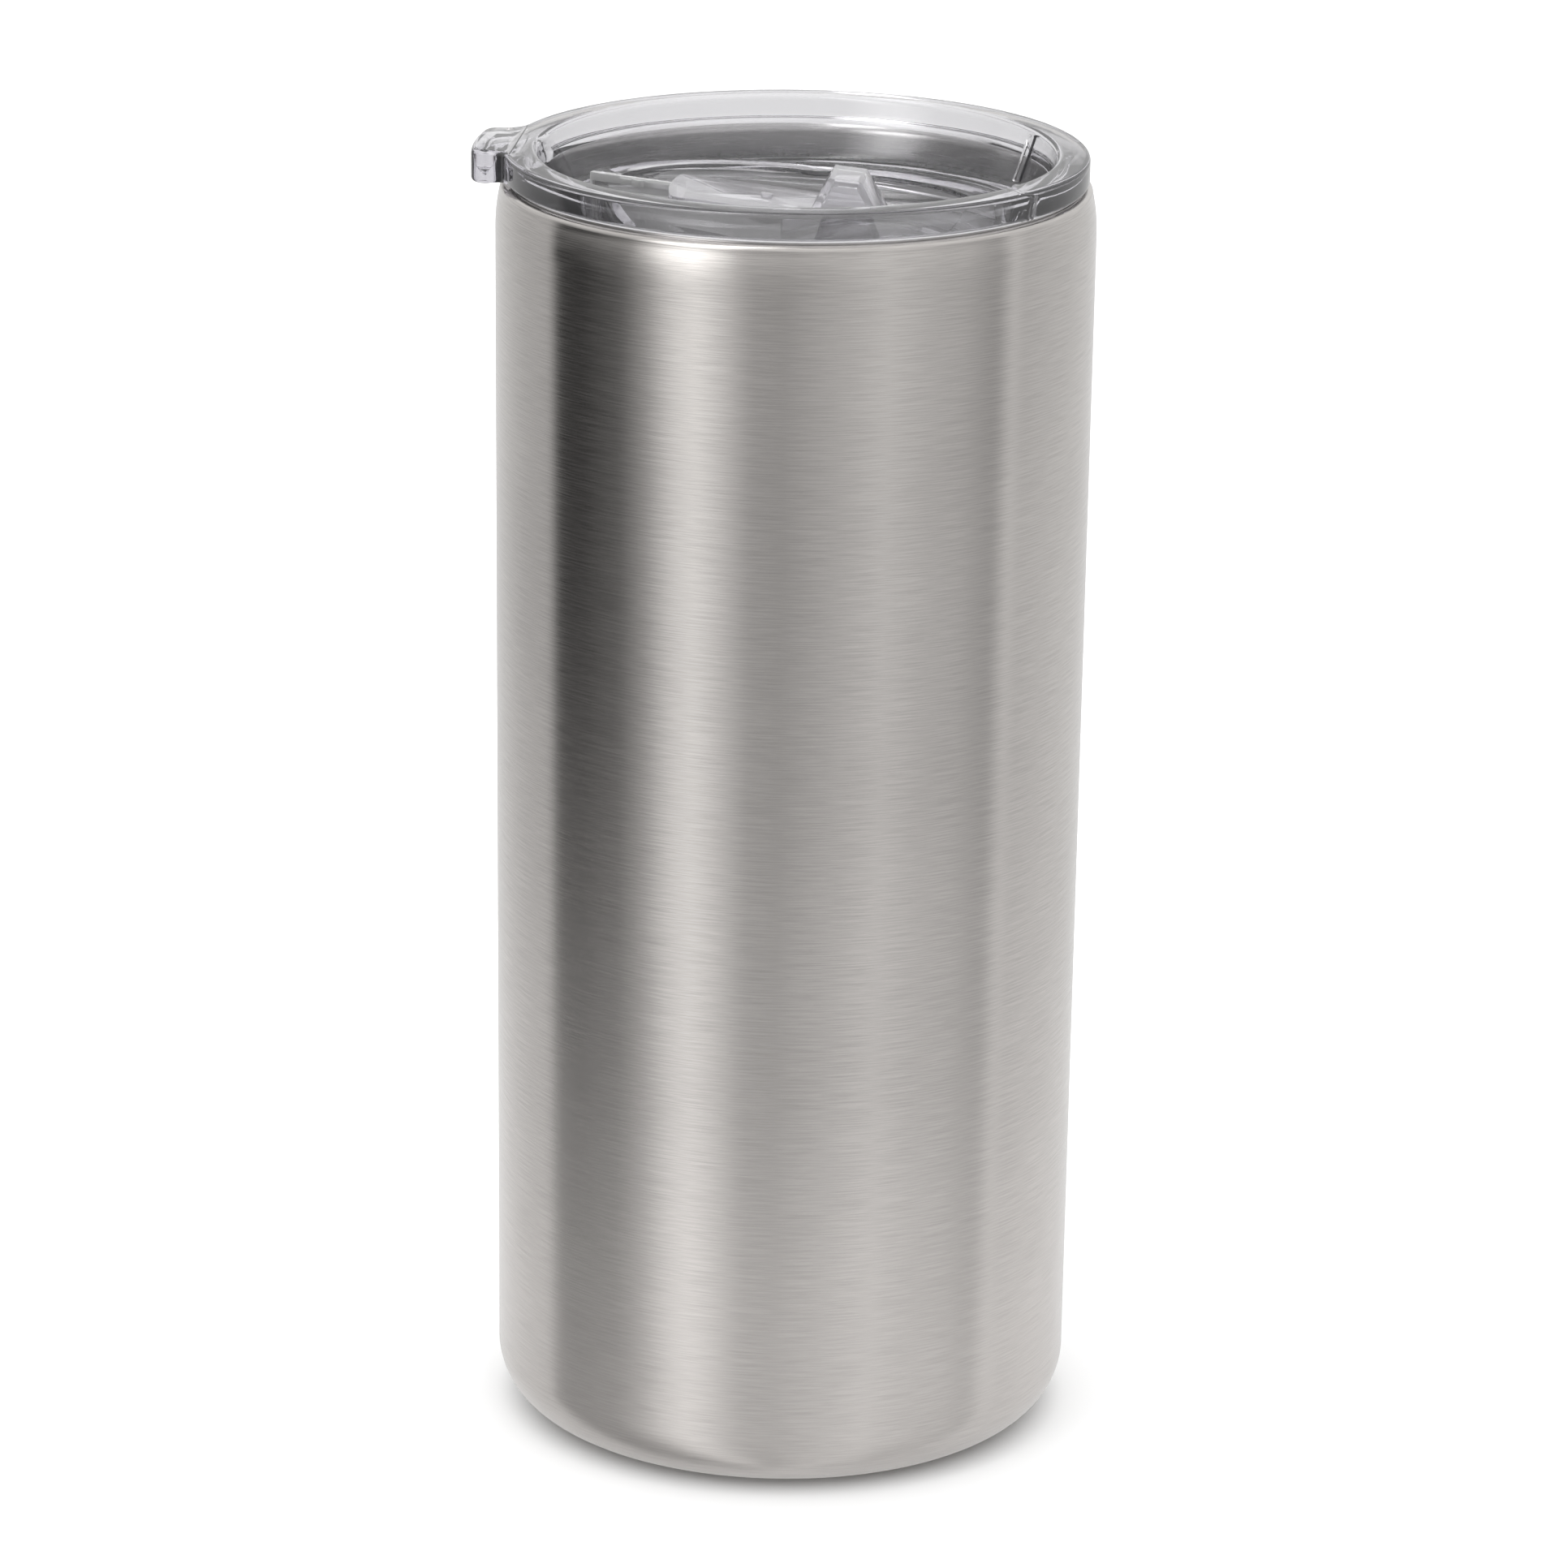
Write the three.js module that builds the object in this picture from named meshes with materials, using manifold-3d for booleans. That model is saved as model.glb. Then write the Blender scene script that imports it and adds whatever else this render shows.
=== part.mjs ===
// Vacuum-insulated steel tumbler with a clear press-in lid and a sliding sip closure.
// Millimetres, +Z up. The origin is on the tumbler's axis, in the plane it stands on.
// The lid's thumb tab points to -X, and the user drinks over the rim at +X.

import * as THREE from 'three';
import { mergeVertices } from 'three/addons/utils/BufferGeometryUtils.js';
import Module from 'manifold-3d';

const wasm = await Module();
wasm.setup();

// Fineness and clearances
const SEGMENTS = 48; // facets round every revolved piece
const GAP = 0.3; // between pieces that touch on the real object
const WELD_TOLERANCE = 1e-4;
const OVERSHOOT = 5; // how far a cutting body reaches past what it cuts
const OVERLAP = 0.5; // how far a joined body reaches into its neighbour

// Steel tumbler
const TOTAL_HEIGHT = 177;
const SHELL_TOP_RADIUS = 40;
const SHELL_BASE_RADIUS = 39.3;
const SHELL_WALL = 0.6;
const BASE_FILLET = 8.4;
const BASE_OPENING_RADIUS = 28.5;
const SHOULDER_HEIGHT = 166.5;
const SHOULDER_BEND_RADIUS = 24;
const SHOULDER_BEND_DEGREES = 13;
const LIP_HEIGHT = 172.7;
const LIP_EDGE_RADIUS = 0.75;
const LIP_SEAM_RADIUS = 38.1; // where the shell and the liner are welded
const LINER_RADIUS = 36.4; // inside of the drinking vessel
const LINER_WALL = 0.5;
const LINER_LIP_RADIUS = 1.4;
const LINER_FLOOR_HEIGHT = 12;
const LINER_FILLET = 6;

// Vacuum closure and the pieces in the vacuum
const CLOSURE_RADIUS = 30.4;
const CLOSURE_THICKNESS = 0.7;
const CLOSURE_DIMPLE_RADIUS = 4.5;
const CLOSURE_DIMPLE_DEPTH = 1.6;
const EVACUATION_HOLE_RADIUS = 1.2;
const BEAD_RADIUS = 3.9;
const BEAD_HEIGHT = 1;
const FOIL_THICKNESS = 0.15;
const FOIL_BOTTOM = 22;
const FOIL_TOP = 160;
const GETTER_OFFSET = 14; // from the axis, clear of the evacuation hole
const GETTER_CUP_RADIUS = 5;
const GETTER_CUP_HEIGHT = 2.2;
const GETTER_CUP_WALL = 0.4;
const GETTER_SEGMENTS = 24;

// Lid
const FLANGE_RADIUS = 38.93;
const FLANGE_THICKNESS = 3.95;
const FLANGE_BOTTOM = TOTAL_HEIGHT - FLANGE_THICKNESS;
const FLANGE_EDGE = 0.7;
const BASIN_RADIUS = 34.4; // of the basin wall just under the flange's inner edge
const BASIN_EDGE = 1;
const BASIN_WALL_DEGREES = 20; // the wall leans in by this much on its way down
const BASIN_FLOOR = 168.3;
const BASIN_FILLET = 2.6;
const BASIN_FLOOR_THICKNESS = 1.6;
const SKIRT_UPPER_RADIUS = 34.8;
const SKIRT_NECK_RADIUS = 34.4;
const SKIRT_CHAMFER = 0.8;
const SKIRT_BOTTOM = 164;
const SKIRT_INNER_RADIUS = 30.4;
const PLATFORM_RADIUS = 29.6; // the raised, sloping half of the floor ends here
const PLATFORM_CAVITY_RADIUS = 28;
const RECESS_RADIUS = 26;
const RECESS_DEPTH = 0.5;
const RAIL_OUTER = 8.3; // half-distance over the two rails beside the slider
const GROOVE_RADIUS = 32.6;
const GROOVE_BOTTOM = 165.2;
const GROOVE_TOP = 167.4;
const GASKET_RADIUS = 36.2;
const GASKET_CLEARANCE = 0.2;
const FIN_THICKNESS = 0.6;

// Thumb tab, an outward tongue of the flange
const TAB_TIP = 43.2;
const TAB_HALF_WIDTH = 7.7;
const TAB_CORNER = 2.2;
const TAB_FILLET = 3;
const TAB_ROOT_RADIUS = 36.5;
const TAB_BOTTOM = 172.4;
const TAB_RELIEF_RADIUS = 41.4;

// Ribs on the basin wall, either side of the place to drink from
const RIB_DEGREES = 27.5;
const RIB_WIDTH = 1;
const RIB_DEPTH = 0.9;
const RIB_TOP = 176.6;
const RIB_BOTTOM = 170.4;

// Slider and its channel. Heights are measured from the slider's top face, in a frame that slopes
// down towards +X; the origin of that frame is on the tumbler's axis.
const SLOPE = THREE.MathUtils.degToRad(5.8);
const SLIDER_TOP = 169.94;
const PLATFORM_DROP = 1.63; // from the slider's top face to the sloping floor
const SLIDER_LEFT = -17;
const SLIDER_RIGHT = 28;
const SLIDER_END_ARC = 29;
const SLIDER_HALF_WIDTH = 6.9;
const SLIDER_DEPTH = 3.6;
const SLIDER_WALL = 1.3;
const SLIDER_CORNER = 1.2;
const TONGUE_HALF_WIDTH = 8.1;
const TONGUE_THICKNESS = 0.7;
const TRAY_RIGHT = 13.6; // the slider is hollow underneath up to here, and solid over the sip hole
const CHANNEL_HALF_WIDTH = 7.5;
const CHANNEL_DEPTH = 3.8;
const CHANNEL_END_RADIUS = 29.3;
const CHANNEL_WALL = 1.2;
const UNDERCUT_HALF_WIDTH = 8.4;
const UNDERCUT_DROP = 2.7;
const SIP_HOLE_X = 22.9;
const SIP_HOLE_LENGTH = 7.2;
const SIP_HOLE_WIDTH = 12;
const SIP_HOLE_CORNER = 2.5;
const VENT_X = -9;
const VENT_RADIUS = 0.8;
const DETENT_X = -22;
const DETENT_RADIUS = 1;
const DETENT_PROUD = 0.45;
const DETENT_DROP = 1.8;
const KNOB_HEIGHT = 4.6;
const KNOB_BASE = [2.3, 11.8];
const KNOB_TOP = [4.3, 8.6];
const KNOB_HALF_WIDTH = 5;
const KNOB_TOP_HALF_WIDTH = 4.3;
const GATE_MARK_X = -4;
const GATE_MARK_RADIUS = 0.8;
const GATE_MARK_HEIGHT = 0.5;

const point = (r, z) => new THREE.Vector2(r, z);

// Points on a circular arc of an outline, from one angle to another in degrees.
function arc(centreX, centreY, radius, from, to, steps = 6) {
  const points = [];
  for (let i = 0; i <= steps; i += 1) {
    const angle = THREE.MathUtils.degToRad(from + ((to - from) * i) / steps);
    points.push(point(centreX + radius * Math.cos(angle), centreY + radius * Math.sin(angle)));
  }
  return points;
}

// A closed geometry as a solid: corners that coincide are merged and empty triangles dropped.
function solidOf(geometry) {
  geometry.deleteAttribute('normal');
  geometry.deleteAttribute('uv');
  const merged = mergeVertices(geometry, WELD_TOLERANCE);
  const index = merged.index.array;
  const triangles = [];
  for (let i = 0; i < index.length; i += 3) {
    const [a, b, c] = index.slice(i, i + 3);
    if (a !== b && b !== c && c !== a) triangles.push(a, b, c);
  }
  const vertProperties = new Float32Array(merged.attributes.position.array);
  const triVerts = new Uint32Array(triangles);
  return new wasm.Manifold(new wasm.Mesh({ numProp: 3, vertProperties, triVerts }));
}

function geometryOf(solid) {
  const mesh = solid.getMesh();
  const geometry = new THREE.BufferGeometry();
  geometry.setAttribute('position', new THREE.BufferAttribute(mesh.vertProperties, 3));
  geometry.setIndex(new THREE.BufferAttribute(mesh.triVerts, 1));
  geometry.computeVertexNormals();
  return geometry;
}

// A profile of (radius, height) points, counter-clockwise, turned about the Z axis.
function revolve(profile, segments = SEGMENTS) {
  const onAxis = profile[0].x === 0;
  const outline = onAxis ? profile : [...profile, profile[0]];
  return solidOf(new THREE.LatheGeometry(outline, segments).rotateX(Math.PI / 2));
}

function cylinder(radius, bottom, top, segments = SEGMENTS) {
  return revolve([point(0, bottom), point(radius, bottom), point(radius, top), point(0, top)], segments);
}

// A box given by its lowest and highest corners.
function box(low, high) {
  const size = high.map((value, i) => value - low[i]);
  const middle = high.map((value, i) => (value + low[i]) / 2);
  return new THREE.BoxGeometry(...size).translate(...middle);
}

// An outline in the XY plane, raised from one height to another.
function prism(outline, bottom, top) {
  const shape = new THREE.Shape(outline);
  const geometry = new THREE.ExtrudeGeometry(shape, { depth: top - bottom, bevelEnabled: false });
  return geometry.translate(0, 0, bottom);
}

// Takes a geometry from the slider's sloping frame to the frame of the whole part.
function sloped(geometry) {
  return geometry.rotateY(SLOPE).translate(0, 0, SLIDER_TOP);
}

// ---- Steel tumbler ----

function outerShell() {
  const filletRadius = SHELL_BASE_RADIUS - BASE_FILLET;
  const bendCentre = SHELL_TOP_RADIUS - SHOULDER_BEND_RADIUS;
  const bend = (radius) => arc(bendCentre, SHOULDER_HEIGHT, radius, 0, SHOULDER_BEND_DEGREES, 3);
  const outerBend = bend(SHOULDER_BEND_RADIUS);
  const innerBend = bend(SHOULDER_BEND_RADIUS - SHELL_WALL).reverse();
  const edgeRadius = outerBend[outerBend.length - 1].x - LIP_EDGE_RADIUS;
  return revolve([
    point(BASE_OPENING_RADIUS, 0),
    ...arc(filletRadius, BASE_FILLET, BASE_FILLET, -90, 0),
    ...outerBend,
    ...arc(edgeRadius, LIP_HEIGHT - LIP_EDGE_RADIUS, LIP_EDGE_RADIUS, 0, 90, 3),
    point(LIP_SEAM_RADIUS, LIP_HEIGHT),
    point(LIP_SEAM_RADIUS, LIP_HEIGHT - SHELL_WALL),
    ...innerBend,
    ...arc(filletRadius, BASE_FILLET, BASE_FILLET - SHELL_WALL, 0, -90),
    point(BASE_OPENING_RADIUS, SHELL_WALL),
  ]);
}

function linerTube() {
  const seam = LIP_SEAM_RADIUS - GAP;
  const lipCentre = LIP_HEIGHT - LINER_LIP_RADIUS;
  const bottom = LINER_FLOOR_HEIGHT + LINER_WALL + LINER_FILLET + GAP;
  return revolve([
    point(LINER_RADIUS, bottom),
    point(LINER_RADIUS + LINER_WALL, bottom),
    ...arc(seam, lipCentre, LINER_LIP_RADIUS - LINER_WALL, 180, 90, 4),
    ...arc(seam, lipCentre, LINER_LIP_RADIUS, 90, 180, 5),
  ]);
}

function linerBottom() {
  const filletRadius = LINER_RADIUS - LINER_FILLET;
  const filletHeight = LINER_FLOOR_HEIGHT + LINER_WALL + LINER_FILLET;
  return revolve([
    point(0, LINER_FLOOR_HEIGHT),
    ...arc(filletRadius, filletHeight, LINER_FILLET + LINER_WALL, -90, 0),
    ...arc(filletRadius, filletHeight, LINER_FILLET, 0, -90),
    point(0, LINER_FLOOR_HEIGHT + LINER_WALL),
  ]);
}

// The disc that closes the vacuum, dimpled round the hole that the air is drawn out of.
function vacuumClosure() {
  const bottom = SHELL_WALL + GAP;
  const top = bottom + CLOSURE_THICKNESS;
  const dimpleOuter = CLOSURE_DIMPLE_RADIUS + CLOSURE_THICKNESS;
  return revolve([
    point(EVACUATION_HOLE_RADIUS, bottom + CLOSURE_DIMPLE_DEPTH),
    point(CLOSURE_DIMPLE_RADIUS, bottom + CLOSURE_DIMPLE_DEPTH),
    point(CLOSURE_DIMPLE_RADIUS, bottom),
    point(CLOSURE_RADIUS, bottom),
    point(CLOSURE_RADIUS, top),
    point(dimpleOuter, top),
    point(dimpleOuter, top + CLOSURE_DIMPLE_DEPTH),
    point(EVACUATION_HOLE_RADIUS, top + CLOSURE_DIMPLE_DEPTH),
  ]);
}

function sealBead() {
  const top = SHELL_WALL + CLOSURE_DIMPLE_DEPTH;
  const bottom = top - BEAD_HEIGHT;
  return revolve([
    point(0, bottom),
    point(BEAD_RADIUS - BEAD_HEIGHT / 2, bottom + BEAD_HEIGHT / 4),
    point(BEAD_RADIUS, bottom + BEAD_HEIGHT / 2),
    point(BEAD_RADIUS, top),
    point(0, top),
  ], GETTER_SEGMENTS);
}

function baseCover() {
  const radius = BASE_OPENING_RADIUS - GAP;
  const chamfer = SHELL_WALL / 3;
  return revolve([
    point(0, 0),
    point(radius - chamfer, 0),
    point(radius, chamfer),
    point(radius, SHELL_WALL),
    point(0, SHELL_WALL),
  ]);
}

function radiationFoil() {
  const inner = LINER_RADIUS + LINER_WALL + GAP;
  const outer = inner + FOIL_THICKNESS;
  return revolve([
    point(inner, FOIL_BOTTOM),
    point(outer, FOIL_BOTTOM),
    point(outer, FOIL_TOP),
    point(inner, FOIL_TOP),
  ]);
}

// Open downwards, with its closed end against the underside of the liner's floor.
function getterCup() {
  const inner = GETTER_CUP_RADIUS - GETTER_CUP_WALL;
  return revolve([
    point(0, -GETTER_CUP_WALL),
    point(inner, -GETTER_CUP_WALL),
    point(inner, -GETTER_CUP_HEIGHT),
    point(GETTER_CUP_RADIUS, -GETTER_CUP_HEIGHT),
    point(GETTER_CUP_RADIUS, 0),
    point(0, 0),
  ], GETTER_SEGMENTS);
}

function getterPellet() {
  const radius = GETTER_CUP_RADIUS - GETTER_CUP_WALL - GAP;
  return cylinder(radius, -GETTER_CUP_HEIGHT, -GETTER_CUP_WALL - GAP, GETTER_SEGMENTS);
}

// ---- Lid ----

const wallLean = Math.tan(THREE.MathUtils.degToRad(BASIN_WALL_DEGREES));
const wallTop = TOTAL_HEIGHT - BASIN_EDGE;
const basinWallRadius = (height) => BASIN_RADIUS - (wallTop - height) * wallLean;

// Outside of the lid from the skirt's lower edge to the top face, filled to the axis.
function lidBlank() {
  return revolve([
    point(0, SKIRT_BOTTOM),
    point(SKIRT_NECK_RADIUS - SKIRT_CHAMFER, SKIRT_BOTTOM),
    point(SKIRT_NECK_RADIUS, SKIRT_BOTTOM + SKIRT_CHAMFER),
    point(SKIRT_NECK_RADIUS, GROOVE_BOTTOM),
    point(GROOVE_RADIUS, GROOVE_BOTTOM),
    point(GROOVE_RADIUS, GROOVE_TOP),
    point(SKIRT_NECK_RADIUS, GROOVE_TOP),
    point(SKIRT_UPPER_RADIUS, FLANGE_BOTTOM),
    ...arc(FLANGE_RADIUS - FLANGE_EDGE, FLANGE_BOTTOM + FLANGE_EDGE, FLANGE_EDGE, -90, 0, 3),
    ...arc(FLANGE_RADIUS - FLANGE_EDGE, TOTAL_HEIGHT - FLANGE_EDGE, FLANGE_EDGE, 0, 90, 3),
    point(0, TOTAL_HEIGHT),
  ]);
}

// Space inside the lid's rim, down to the flat floor.
function basinSpace() {
  const corner = basinWallRadius(BASIN_FLOOR);
  const tangent = BASIN_FILLET * Math.tan(THREE.MathUtils.degToRad((90 - BASIN_WALL_DEGREES) / 2));
  const filletEnd = -BASIN_WALL_DEGREES;
  return revolve([
    point(0, BASIN_FLOOR),
    ...arc(corner - tangent, BASIN_FLOOR + BASIN_FILLET, BASIN_FILLET, -90, filletEnd, 4),
    ...arc(BASIN_RADIUS + BASIN_EDGE, wallTop, BASIN_EDGE, 180, 90, 4),
    point(BASIN_RADIUS + BASIN_EDGE, TOTAL_HEIGHT + OVERSHOOT),
    point(0, TOTAL_HEIGHT + OVERSHOOT),
  ]);
}

// Everything under a sloping plane that lies a given drop below the slider's top face.
function underSlope(drop) {
  const low = [-2 * SHELL_TOP_RADIUS, -SHELL_TOP_RADIUS, -2 * SHELL_TOP_RADIUS];
  const high = [2 * SHELL_TOP_RADIUS, SHELL_TOP_RADIUS, -drop];
  return solidOf(sloped(box(low, high)));
}

function slopingPlatform() {
  const disc = cylinder(PLATFORM_RADIUS, BASIN_FLOOR - OVERSHOOT, TOTAL_HEIGHT);
  return disc.intersect(underSlope(PLATFORM_DROP));
}

// Shallow recess in the floor, which leaves a rim outside it and a rail along the slider.
function floorRecess() {
  const disc = cylinder(RECESS_RADIUS, BASIN_FLOOR - RECESS_DEPTH, TOTAL_HEIGHT);
  const low = [-SHELL_TOP_RADIUS, -RAIL_OUTER, SKIRT_BOTTOM - OVERSHOOT];
  const railBlock = solidOf(box(low, [SHELL_TOP_RADIUS, RAIL_OUTER, TOTAL_HEIGHT]));
  return disc.subtract(underSlope(PLATFORM_DROP + RECESS_DEPTH)).subtract(railBlock);
}

// Space under the floor, which follows the floor at an even thickness.
function undersideSpace() {
  const floorUnderside = BASIN_FLOOR - BASIN_FLOOR_THICKNESS;
  const bottom = SKIRT_BOTTOM - OVERSHOOT;
  const flat = cylinder(SKIRT_INNER_RADIUS, bottom, floorUnderside);
  const raised = cylinder(PLATFORM_CAVITY_RADIUS, bottom, TOTAL_HEIGHT)
    .intersect(underSlope(PLATFORM_DROP + BASIN_FLOOR_THICKNESS));
  return flat.add(raised);
}

// Block that the slider's channel is sunk into, up to the level of the recessed floor.
function channelBlock() {
  const halfWidth = UNDERCUT_HALF_WIDTH + CHANNEL_WALL;
  const low = [-SHELL_TOP_RADIUS, -halfWidth, -CHANNEL_DEPTH - CHANNEL_WALL];
  const block = solidOf(sloped(box(low, [SHELL_TOP_RADIUS, halfWidth, OVERSHOOT])));
  const bottom = SKIRT_BOTTOM - OVERSHOOT;
  const underPlatform = cylinder(PLATFORM_CAVITY_RADIUS + OVERLAP, bottom, TOTAL_HEIGHT)
    .intersect(underSlope(PLATFORM_DROP + RECESS_DEPTH));
  const underFloor = cylinder(SKIRT_INNER_RADIUS + OVERLAP, bottom, BASIN_FLOOR - RECESS_DEPTH);
  return block.intersect(underPlatform.add(underFloor));
}

// The channel is undercut on both sides, and opens past the platform's edge at its -X end.
function channelSpace() {
  const slot = (halfWidth, drop) => {
    const low = [-SHELL_TOP_RADIUS, -halfWidth, -CHANNEL_DEPTH];
    return solidOf(sloped(box(low, [SHELL_TOP_RADIUS, halfWidth, drop])));
  };
  const both = slot(CHANNEL_HALF_WIDTH, OVERSHOOT).add(slot(UNDERCUT_HALF_WIDTH, -UNDERCUT_DROP));
  const ends = cylinder(CHANNEL_END_RADIUS, SKIRT_BOTTOM - OVERSHOOT, TOTAL_HEIGHT);
  const leftGate = solidOf(sloped(box(
    [-PLATFORM_RADIUS - OVERLAP, -CHANNEL_HALF_WIDTH, -CHANNEL_DEPTH],
    [OVERSHOOT - CHANNEL_END_RADIUS, CHANNEL_HALF_WIDTH, OVERSHOOT],
  )));
  return both.intersect(ends).add(leftGate);
}

function roundedRectangle(halfX, halfY, corner) {
  return [
    ...arc(halfX - corner, halfY - corner, corner, 0, 90, 4),
    ...arc(corner - halfX, halfY - corner, corner, 90, 180, 4),
    ...arc(corner - halfX, corner - halfY, corner, 180, 270, 4),
    ...arc(halfX - corner, corner - halfY, corner, 270, 360, 4),
  ];
}

function sipHole() {
  const outline = roundedRectangle(SIP_HOLE_LENGTH / 2, SIP_HOLE_WIDTH / 2, SIP_HOLE_CORNER);
  const hole = prism(outline, -CHANNEL_DEPTH - OVERSHOOT, -CHANNEL_DEPTH + GAP);
  return solidOf(sloped(hole.translate(SIP_HOLE_X, 0, 0)));
}

function ventHole() {
  const outline = arc(VENT_X, 0, VENT_RADIUS, 0, 330, 11);
  return solidOf(sloped(prism(outline, -CHANNEL_DEPTH - OVERSHOOT, GAP - CHANNEL_DEPTH)));
}

// Small bump on a channel wall that holds the slider open. side is 1 or -1.
function detent(side) {
  const centre = side * (CHANNEL_HALF_WIDTH + DETENT_RADIUS - DETENT_PROUD);
  const outline = arc(DETENT_X, centre, DETENT_RADIUS, 0, 337.5, 15);
  return solidOf(sloped(prism(outline, -UNDERCUT_DROP, -DETENT_DROP)));
}

function thumbTab() {
  const filletCentreY = TAB_HALF_WIDTH + TAB_FILLET;
  const filletCentreX = -Math.sqrt((FLANGE_RADIUS + TAB_FILLET) ** 2 - filletCentreY ** 2);
  const meeting = THREE.MathUtils.radToDeg(Math.atan2(-filletCentreY, -filletCentreX));
  const rootDegrees = 180 + meeting;
  const cornerCentreY = TAB_HALF_WIDTH - TAB_CORNER;
  const cornerCentreX = -Math.sqrt((TAB_TIP - TAB_CORNER) ** 2 - cornerCentreY ** 2);
  const tipDegrees = THREE.MathUtils.radToDeg(Math.atan2(cornerCentreY, cornerCentreX));
  const upper = [
    ...arc(filletCentreX, filletCentreY, TAB_FILLET, meeting, -90, 5),
    ...arc(cornerCentreX, cornerCentreY, TAB_CORNER, 90, tipDegrees, 5),
  ];
  const lower = upper.map((p) => point(p.x, -p.y)).reverse();
  const root = arc(0, 0, TAB_ROOT_RADIUS, -rootDegrees, rootDegrees - 360, 5);
  const outline = new THREE.Shape([...upper, point(-TAB_TIP, 0), ...lower, ...root]);
  const geometry = new THREE.ExtrudeGeometry(outline, {
    depth: TOTAL_HEIGHT - TAB_BOTTOM - 2 * FLANGE_EDGE,
    bevelThickness: FLANGE_EDGE,
    bevelSize: FLANGE_EDGE,
    bevelOffset: -FLANGE_EDGE,
    bevelSegments: 2,
  });
  const relief = revolve([
    point(0, TAB_BOTTOM - OVERSHOOT),
    point(TAB_RELIEF_RADIUS, TAB_BOTTOM - OVERSHOOT),
    point(TAB_RELIEF_RADIUS, TAB_BOTTOM),
    point(FLANGE_RADIUS, FLANGE_BOTTOM),
    point(0, FLANGE_BOTTOM),
  ]);
  return solidOf(geometry.translate(0, 0, TAB_BOTTOM + FLANGE_EDGE)).subtract(relief);
}

// Upright rib that follows the lean of the basin wall.
function wallRib(degrees) {
  const outline = [
    point(basinWallRadius(RIB_BOTTOM) - RIB_DEPTH, RIB_BOTTOM),
    point(basinWallRadius(RIB_BOTTOM) + RIB_DEPTH, RIB_BOTTOM),
    point(basinWallRadius(RIB_TOP) + RIB_DEPTH, RIB_TOP),
    point(basinWallRadius(RIB_TOP) - RIB_DEPTH, RIB_TOP),
  ];
  const geometry = prism(outline, -RIB_WIDTH / 2, RIB_WIDTH / 2);
  return solidOf(geometry.rotateX(Math.PI / 2).rotateZ(THREE.MathUtils.degToRad(degrees)));
}

function lidBody() {
  let lid = lidBlank().subtract(basinSpace().subtract(slopingPlatform()));
  lid = lid.subtract(undersideSpace()).subtract(floorRecess());
  lid = lid.add(channelBlock()).subtract(channelSpace());
  lid = lid.subtract(sipHole()).subtract(ventHole());
  for (const side of [1, -1]) {
    lid = lid.add(detent(side)).add(wallRib(side * RIB_DEGREES));
  }
  return lid.add(thumbTab());
}

// Ring in the skirt's groove, with two fins that press on the liner.
function lidGasket() {
  const inner = GROOVE_RADIUS + GASKET_CLEARANCE;
  const bottom = GROOVE_BOTTOM + GASKET_CLEARANCE;
  const top = GROOVE_TOP - GASKET_CLEARANCE;
  const core = SKIRT_NECK_RADIUS + GASKET_CLEARANCE;
  return revolve([
    point(inner, bottom),
    point(core, bottom),
    point(GASKET_RADIUS, bottom + FIN_THICKNESS / 2),
    point(GASKET_RADIUS, bottom + FIN_THICKNESS),
    point(core, bottom + FIN_THICKNESS),
    point(core, top - FIN_THICKNESS),
    point(GASKET_RADIUS, top - FIN_THICKNESS / 2),
    point(GASKET_RADIUS, top),
    point(inner, top),
  ]);
}

// ---- Slider, in its own frame ----

// Outline with curved ends and rounded corners.
function sliderOutline(halfWidth, inset) {
  const radius = SLIDER_END_ARC - inset;
  const sweep = THREE.MathUtils.radToDeg(Math.asin((halfWidth - SLIDER_CORNER) / radius));
  const rightCentre = SLIDER_RIGHT - SLIDER_END_ARC;
  const leftCentre = SLIDER_LEFT + SLIDER_END_ARC;
  const right = arc(rightCentre, 0, radius, -sweep, sweep, 6);
  const left = arc(leftCentre, 0, radius, 180 - sweep, 180 + sweep, 6);
  const cornerY = halfWidth - SLIDER_CORNER;
  const rightX = right[0].x - SLIDER_CORNER;
  const leftX = left[0].x + SLIDER_CORNER;
  return [
    ...right,
    ...arc(rightX, cornerY, SLIDER_CORNER, 30, 90, 3),
    ...arc(leftX, cornerY, SLIDER_CORNER, 90, 150, 3),
    ...left,
    ...arc(leftX, -cornerY, SLIDER_CORNER, 210, 270, 3),
    ...arc(rightX, -cornerY, SLIDER_CORNER, 270, 330, 3),
  ];
}

// A ridge across the slider: its outline along X, narrowed towards the top across Y.
function knobBody(inset) {
  const top = KNOB_HEIGHT - inset;
  const alongX = [
    point(KNOB_BASE[0] + inset, -SLIDER_DEPTH / 2),
    point(KNOB_BASE[1] - inset, -SLIDER_DEPTH / 2),
    point(KNOB_BASE[1] - inset, 0),
    point(KNOB_TOP[1] - inset / 2, top),
    point(KNOB_TOP[0] + inset / 2, top),
    point(KNOB_BASE[0] + inset, 0),
  ];
  const halfBase = KNOB_HALF_WIDTH - inset;
  const halfTop = KNOB_TOP_HALF_WIDTH - inset;
  const acrossY = [
    point(-halfBase, -SLIDER_DEPTH),
    point(halfBase, -SLIDER_DEPTH),
    point(halfBase, 0),
    point(halfTop, top),
    point(-halfTop, top),
    point(-halfBase, 0),
  ];
  const ridge = solidOf(prism(alongX, -KNOB_HALF_WIDTH, KNOB_HALF_WIDTH).rotateX(Math.PI / 2));
  const taper = prism(acrossY, KNOB_BASE[0], KNOB_BASE[1]);
  return ridge.intersect(solidOf(taper.rotateX(Math.PI / 2).rotateZ(Math.PI / 2)));
}

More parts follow.
